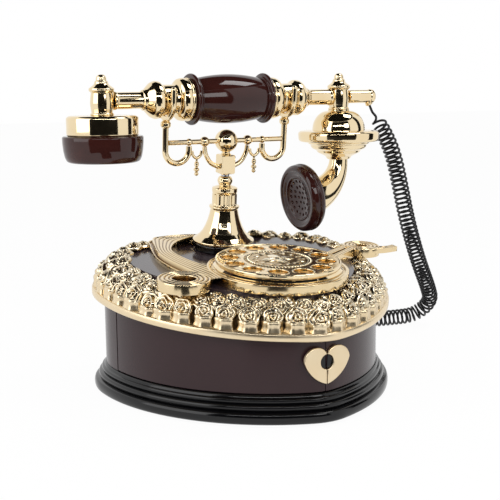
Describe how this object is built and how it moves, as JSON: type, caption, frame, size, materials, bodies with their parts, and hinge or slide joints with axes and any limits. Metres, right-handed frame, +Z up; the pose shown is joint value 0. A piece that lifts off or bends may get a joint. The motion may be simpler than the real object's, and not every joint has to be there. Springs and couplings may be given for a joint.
{
  "type": "french-style cradle phone",
  "caption": "Ornate cradle telephone: handset across a bell-shaped stand on a heart-shaped base with push-key dial, swinging drawers and a curly cord.",
  "frame": {"origin": "on the table under the middle of the heart-shaped base", "axes": "+Z up, -Y towards the user and the heart's point, +X to the mouthpiece side"},
  "size_m": [0.4009, 0.2446, 0.2525],
  "materials": {
    "black_gloss": "gloss",
    "rubber": "matte",
    "brown_wall": "satin",
    "tray_plastic": "matte",
    "felt": "matte",
    "steel": "polished",
    "gold": "polished plated",
    "medallion_gold": "polished plated",
    "brown_gloss": "gloss",
    "board_gloss": "gloss",
    "key_gold": "satin",
    "black_plastic": "satin",
    "circuit": "matte",
    "cord": "satin"
  },
  "bodies": {
    "base": {"plinth": "black_gloss", "rubber_feet": "rubber", "rear_shell": "brown_wall", "spine_wall": "tray_plastic", "hinge_pin_left": "steel", "hinge_pin_right": "steel", "rim_board": "gold", "rose_border": "gold", "top_board": "board_gloss", "scroll_plate": "gold", "dial_body": "gold", "finger_ring": "gold", "medallion": "medallion_gold", "bell_stand": "gold", "hook_switch": "black_plastic", "cord_gland": "black_plastic", "circuit_board": "circuit", "ringer": "black_plastic", "curly_cord": "cord"},
    "cradle": {"plunger": "steel", "cradle_block": "gold", "cradle_bar": "gold", "fork_left": "gold", "fork_right": "gold", "cradle_stays": "gold", "garlands": "gold"},
    "handset": {"grip_barrel": "brown_gloss", "grip_arm_left": "gold", "grip_arm_right": "gold", "post_left": "gold", "post_right": "gold", "receiver_drum": "gold", "receiver_cap": "brown_gloss", "transmitter_dome": "gold", "transmitter_disc": "gold", "transmitter_cone": "gold", "transmitter_horn": "gold", "mouth_cap": "brown_gloss", "tail_tube": "gold"},
    "drawer_left": {"drawer_front_left": "brown_wall", "drawer_tray_left": "tray_plastic", "drawer_lining_left": "felt", "drawer_pull_left": "gold"},
    "drawer_right": {"drawer_front_right": "brown_wall", "drawer_tray_right": "tray_plastic", "drawer_lining_right": "felt", "drawer_pull_right": "gold"},
    "key_01_body": {"key_01": "key_gold"},
    "key_02_body": {"key_02": "key_gold"},
    "key_03_body": {"key_03": "key_gold"},
    "key_04_body": {"key_04": "key_gold"},
    "key_05_body": {"key_05": "key_gold"},
    "key_06_body": {"key_06": "key_gold"},
    "key_07_body": {"key_07": "key_gold"},
    "key_08_body": {"key_08": "key_gold"},
    "key_09_body": {"key_09": "key_gold"},
    "key_10_body": {"key_10": "key_gold"},
    "key_11_body": {"key_11": "key_gold"},
    "key_12_body": {"key_12": "key_gold"}
  },
  "joints": [
    {"name": "handset_lift", "type": "slide", "parent": "base", "child": "handset", "axis": [0, -0.0943, 0.9955], "range_m": [0, 0.08], "deforming": ["curly_cord"]},
    {"name": "cradle_rise", "type": "slide", "parent": "base", "child": "cradle", "axis": [0, -0.0943, 0.9955], "range_m": [0, 0.004]},
    {"name": "drawer_left_swing", "type": "hinge", "parent": "base", "child": "drawer_left", "pos_m": [-0.10781, 0.026, 0.045], "axis": [0, 0, 1], "range_deg": [-60, 0]},
    {"name": "drawer_right_swing", "type": "hinge", "parent": "base", "child": "drawer_right", "pos_m": [0.10781, 0.026, 0.045], "axis": [0, 0, 1], "range_deg": [0, 60]},
    {"name": "key_01_press", "type": "slide", "parent": "base", "child": "key_01_body", "axis": [0, 0.0943, -0.9955], "range_m": [0, 0.0016], "stiffness_N_per_m": 400},
    {"name": "key_02_press", "type": "slide", "parent": "base", "child": "key_02_body", "axis": [0, 0.0943, -0.9955], "range_m": [0, 0.0016], "stiffness_N_per_m": 400},
    {"name": "key_03_press", "type": "slide", "parent": "base", "child": "key_03_body", "axis": [0, 0.0943, -0.9955], "range_m": [0, 0.0016], "stiffness_N_per_m": 400},
    {"name": "key_04_press", "type": "slide", "parent": "base", "child": "key_04_body", "axis": [0, 0.0943, -0.9955], "range_m": [0, 0.0016], "stiffness_N_per_m": 400},
    {"name": "key_05_press", "type": "slide", "parent": "base", "child": "key_05_body", "axis": [0, 0.0943, -0.9955], "range_m": [0, 0.0016], "stiffness_N_per_m": 400},
    {"name": "key_06_press", "type": "slide", "parent": "base", "child": "key_06_body", "axis": [0, 0.0943, -0.9955], "range_m": [0, 0.0016], "stiffness_N_per_m": 400},
    {"name": "key_07_press", "type": "slide", "parent": "base", "child": "key_07_body", "axis": [0, 0.0943, -0.9955], "range_m": [0, 0.0016], "stiffness_N_per_m": 400},
    {"name": "key_08_press", "type": "slide", "parent": "base", "child": "key_08_body", "axis": [0, 0.0943, -0.9955], "range_m": [0, 0.0016], "stiffness_N_per_m": 400},
    {"name": "key_09_press", "type": "slide", "parent": "base", "child": "key_09_body", "axis": [0, 0.0943, -0.9955], "range_m": [0, 0.0016], "stiffness_N_per_m": 400},
    {"name": "key_10_press", "type": "slide", "parent": "base", "child": "key_10_body", "axis": [0, 0.0943, -0.9955], "range_m": [0, 0.0016], "stiffness_N_per_m": 400},
    {"name": "key_11_press", "type": "slide", "parent": "base", "child": "key_11_body", "axis": [0, 0.0943, -0.9955], "range_m": [0, 0.0016], "stiffness_N_per_m": 400},
    {"name": "key_12_press", "type": "slide", "parent": "base", "child": "key_12_body", "axis": [0, 0.0943, -0.9955], "range_m": [0, 0.0016], "stiffness_N_per_m": 400}
  ],
  "couplings": [
    {"joint": "cradle_rise", "follows": "handset_lift", "ratio": 0.05}
  ]
}
